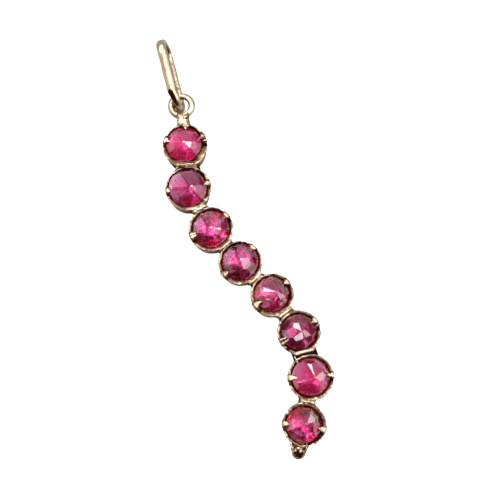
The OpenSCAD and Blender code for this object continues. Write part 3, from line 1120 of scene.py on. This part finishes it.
def bail():
    """The long loop of flattened wire, domed outside and flatter inside, narrowed at its lower end."""
    line = np.array([*polar(1, 90 + BAIL_TURN), 0])
    lean = math.radians(BAIL_LEAN)
    flat = np.array([line[1], -line[0], 0])
    width = flat * math.cos(lean) + np.array([0, 0, math.sin(lean)])
    depth = np.cross(width, line)
    bend = (BAIL_DEPTH - BAIL_T) / 2
    straight = BAIL_L - BAIL_DEPTH
    turns = 40
    steps = 30
    # Places along the loop and the directions out of it. The upper bend and the back leg are the lower bend
    # and the front leg turned half round
    stations = []
    for k in range(turns + 1):
        a = math.pi * k / turns
        out_y, out_z = -math.sin(a), -math.cos(a)
        stations.append((BAIL_DEPTH / 2 + bend * out_y, bend * out_z, out_y, out_z))
    stations += [(BAIL_DEPTH / 2 + straight * k / steps, bend, 0, 1) for k in range(1, steps)]
    stations += [(BAIL_L - y, -z, -out_y, -out_z) for y, z, out_y, out_z in stations]
    rings = []
    painted_shade_and_grime = []
    section = oval(96, 2.6)
    for y, z, out_y, out_z in stations:
        eased = np.clip(y / BAIL_TAPER, 0, 1)
        # The back half of the lower bend keeps its width on the left, and fills the ring's hole there
        broad = max(eased, min(1.0, max(0.0, -out_z * 1.3)))
        left = BAIL_TIP[0] - (BAIL_TIP[0] + BAIL_W / 2) * broad
        right = BAIL_TIP[1] + (BAIL_W / 2 - BAIL_TIP[1]) * eased
        middle = BAIL_FOOT + line * y + depth * z + width * (left + right) / 2
        out = line * out_y + depth * out_z
        ring = []
        dark = []
        for u, v in section:
            # Domed outside; inside it is flatter, with softly rounded edges
            inside = max(0.0, -v)
            v = v if v > 0 else -(abs(v) ** 0.6)
            if v > 0:
                # A low ridge along the front leg, where its seam runs
                near = max(0.0, out_z) * min(1.0, max(0.0, 7.2 - y))
                v += 0.06 * near * math.exp(-(((u + 0.27) / 0.16) ** 2))
            ring.append(middle + width * u * (right - left) / 2 + out * v * BAIL_T / 2)
            # Painted shade darkens the inside, most of all in the two bends, and the back leg all round
            bend_shade = abs(out_y) * 0.5
            back_shade = 0.15 if out_z < 0 else 0.0
            soil_and_shade = -0.35 + 1.2 * inside * (0.35 + bend_shade) + back_shade
            if out_z > 0.3 and v > 0:
                soil_and_shade = max(soil_and_shade, front_seam_and_painted_dark(y, u))
            dark.append(min(1.0, soil_and_shade))
        rings.append(ring)
        painted_shade_and_grime.append(dark)
    shell = Shell()
    shell.take(roughen(rings, (1.2, 0.02, 9)), np.array(painted_shade_and_grime), closed=True)
    shell.piece("bail_loop", SMOOTH_GOLD, "bail", crease=60.0)


bail()


# Ball at the foot

BALL_AT = np.array([6.009, -23.005, 2.15])
BALL_R = 0.725


def globe(middle, wide, high, pole, layers, around):
    """Rings of a ball that is so wide and high from its middle, with small flats past the pole angle."""
    rings = []
    for lat in np.radians(np.linspace(-pole, pole, layers)):
        r, z = wide * math.cos(lat), high * math.sin(lat)
        rings.append([middle + np.array([*polar(r, k * 360 / around), z]) for k in range(around)])
    return rings


def ball():
    """A hand-made gold ball held by solder that runs up both its sides."""
    rings = roughen(globe(BALL_AT, BALL_R, BALL_R, 88, 30, 36), (0.5, 0.03, 12), (0.2, 0.02, 13))
    # The front of the ball is darkened to maroon, a little below its middle
    off = np.linalg.norm(((rings - BALL_AT)[:, :, :2] - np.array([-0.03, -0.1])) / (1.0, 0.85), axis=2)
    ragged = np.array([[noise.noise(Vector(p) * 3.5) for p in ring] for ring in rings])
    front = (rings[:, :, 2] > BALL_AT[2]) * np.clip(2.3 + ragged - off / 0.26, 0, 1)
    shell = Shell()
    shell.take(rings, 0.25 + 0.75 * front)
    for x, y, size in ((-0.08, 0.48, 0.2), (0.14, 0.12, 0.17), (-0.36, 0.2, 0.13), (0.22, 0.42, 0.13)):
        bead = BALL_AT + np.array([x, y, math.sqrt(BALL_R**2 - x * x - y * y) - 0.03])
        layers = globe(bead, size, size * 0.7, 86, 12, 16)
        shell.take(roughen(layers, (0.15, 0.06, 17 + size * 50)), -0.1)
    up = COLLET_AT[-1] - BALL_AT[:2]
    up /= np.linalg.norm(up)
    for places, width in (
        (((-0.88, 1.35), (-0.8, 0.85), (-0.7, 0.3), (-0.6, -0.2)), 0.24),
        (((0.85, 0.85), (0.8, 0.5), (0.74, 0.2), (0.66, -0.05)), 0.22),
    ):
        corners = [(*(BALL_AT[:2] + place), z) for place, z in zip(places, (2.45, 2.5, 2.45, 2.3))]
        strand = strip(corners, [width, width, width, width * 0.8], [0.8, 0.7, 0.5, 0.3], 20, 14)
        shell.take(roughen(round_ends(strand, 0.8), (0.25, 0.04, 14)), 0.08)
    line = [(*(BALL_AT[:2] + up * along), z) for along, z in ((0.2, 2.3), (0.7, 2.35), (1.25, 2.35))]
    core = strip(line, [1.15, 1.75, 2.0], [0.8, 0.9, 0.9], 18, 24)
    shell.take(roughen(core, (0.3, 0.07, 15), (0.14, 0.035, 16)), 0.62)
    shell.piece("foot_ball", CAST_GOLD, crease=50.0)


ball()


# Stage and light

FLOOR_HALF = 0.6  # m
FLOOR_TONES = (rgb(0.38, 0.38, 0.38), rgb(0.44, 0.44, 0.44))


def lay_floor():
    """A plain pale floor with a faint grain, bright enough to wash the shadows out."""
    mesh = bpy.data.meshes.new("floor")
    corners = [(FLOOR_HALF * x, FLOOR_HALF * y, 0) for x, y in ((-1, -1), (1, -1), (1, 1), (-1, 1))]
    mesh.from_pydata(corners, [], [(0, 1, 2, 3)])
    floor = bpy.data.objects.new("floor", mesh)
    bpy.context.scene.collection.objects.link(floor)
    material, tree, shader, place = new_material("pale_paper")
    looks = {
        "Base Color": blend_colour(tree, clouds(tree, place, 900.0, 3.0), *FLOOR_TONES),
        "Roughness": 0.8,
        "Emission Color": rgb(1.0, 1.0, 1.0),
        "Emission Strength": add(tree, "ShaderNodeLightPath").outputs["Is Camera Ray"],
    }
    feed(tree, shader, looks)
    mesh.materials.append(material)


# Soft patches of light and shade on the studio's dome: direction and height in degrees, inner and outer
# size of the patch in degrees, strength
DOME = 0.05
PATCHES = [
    (-5, 46, 20, 22, 2.5),
    (3, 62, 9, 11, 3.5),
    (112, 41, 11, 12.5, 5.5),
    (147, 42, 5, 6.5, 5.5),
    (47, 42, 7, 9, 3.0),
    (-109, 50, 3, 4.5, 4.0),
    (-16, 14, 13, 17, 0.8),
    (178, 8, 20, 30, 0.7),
    (92, 18, 30, 46, 0.28),
    (-90, 86, 27, 34, 1.3),
    (155, 54, 7, 9, 2.5),
    (95, 75, 5.5, 7.5, 5.5),
    (-176, 62, 12, 18, 0.7),
    (-90, 12, 26, 40, -0.1),
]


def light_dome():
    """The studio all round: soft patches of light and shade on a dim dome."""
    world = bpy.data.worlds.new("studio")
    bpy.context.scene.world = world
    world.use_nodes = True
    tree = world.node_tree
    tree.nodes.clear()
    place = add(tree, "ShaderNodeTexCoord").outputs["Generated"]
    total = DOME
    for turn, rise, inner, outer, strength in PATCHES:
        towards = (*polar(math.cos(math.radians(rise)), turn), math.sin(math.radians(rise)))
        facing = add(tree, "ShaderNodeVectorMath", {0: place, 1: towards}, operation="DOT_PRODUCT")
        edge, full = (math.cos(math.radians(size)) for size in (outer, inner))
        total = calc(tree, "ADD", ramp(tree, facing.outputs["Value"], edge, full, 0.0, strength), total)
    total = calc(tree, "MAXIMUM", total, 0.02)
    # Seen straight by the camera, the studio is plain white behind the floor
    seen = add(tree, "ShaderNodeLightPath").outputs["Is Camera Ray"]
    colour = blend_colour(tree, seen, rgb(1.0, 0.985, 0.96), rgb(1.0, 1.0, 1.0))
    total = calc(tree, "MAXIMUM", total, seen)
    light = add(tree, "ShaderNodeBackground", {"Color": colour, "Strength": total})
    add(tree, "ShaderNodeOutputWorld", {"Surface": light.outputs[0]})


lay_floor()
light_dome()

scene = bpy.context.scene
scene.view_settings.view_transform = "Standard"
scene.cycles.max_bounces = 20
scene.cycles.transmission_bounces = 16
scene.cycles.glossy_bounces = 10
scene.cycles.use_denoising = True
